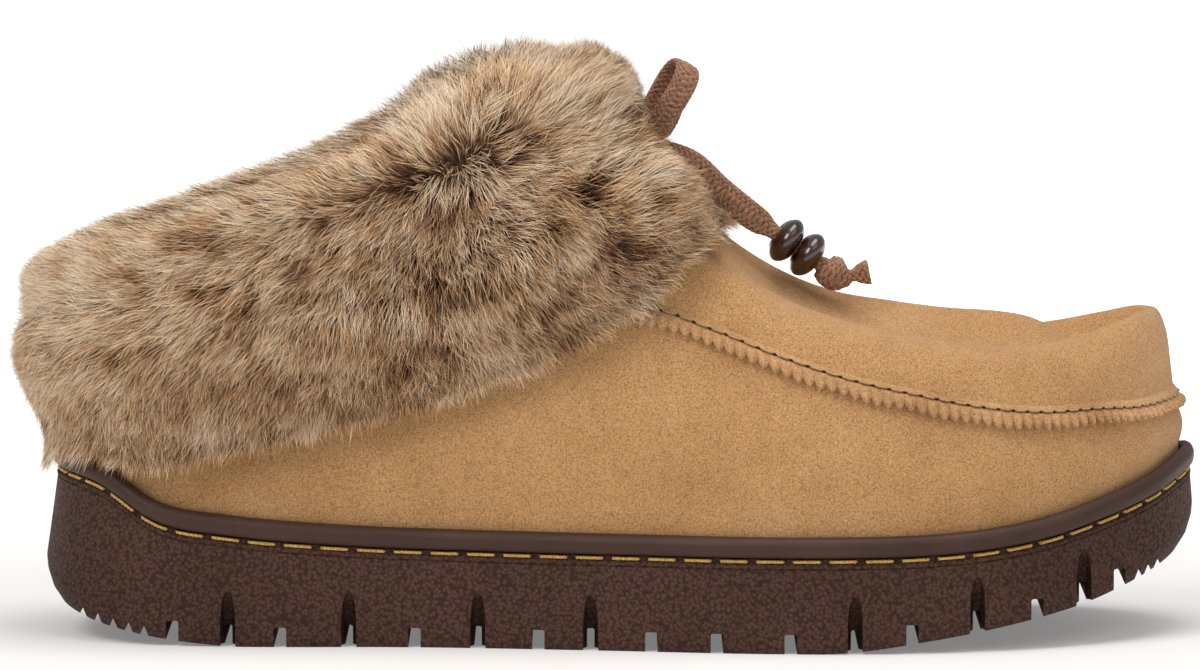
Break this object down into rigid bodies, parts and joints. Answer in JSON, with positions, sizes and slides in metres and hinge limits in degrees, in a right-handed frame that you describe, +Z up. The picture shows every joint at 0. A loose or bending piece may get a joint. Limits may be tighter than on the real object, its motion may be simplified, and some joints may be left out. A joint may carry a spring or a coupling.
{
  "type": "fur-lined slip-on shoe",
  "caption": "Suede moccasin-toe slip-on with a deep fur cuff, flat drawstring lace with beads and a lugged cup sole, right foot.",
  "frame": {"origin": "on the ground, under the middle of the heel tread", "axes": "+X towards the toe, -Y towards the outer side of the foot, +Z up"},
  "size_m": [0.2805, 0.1028, 0.1428],
  "materials": {
    "sole_rubber": "fine pebbled, matt",
    "welt_leather": "smooth, satin",
    "suede": "napped suede, matt",
    "suede_edge": "pinked suede edge, matt",
    "fleece": "short pile, matt",
    "fur": "long mottled pile",
    "cotton_lace": "flat woven cotton, matt",
    "dark_wood": "lacquered, glossy"
  },
  "bodies": {
    "root": {"outsole": "sole_rubber", "welt_roll": "welt_leather", "upper": "suede", "insole": "fleece", "pinked_seam_strip": "suede_edge", "fur_cuff": "fur", "lace_knot": "cotton_lace", "lace_loop_outer": "cotton_lace", "lace_loop_inner": "cotton_lace", "lace_end_outer": "cotton_lace", "lace_end_inner": "cotton_lace", "bead_outer_1": "dark_wood", "bead_outer_2": "dark_wood", "bead_inner_1": "dark_wood", "bead_inner_2": "dark_wood"}
  },
  "joints": []
}
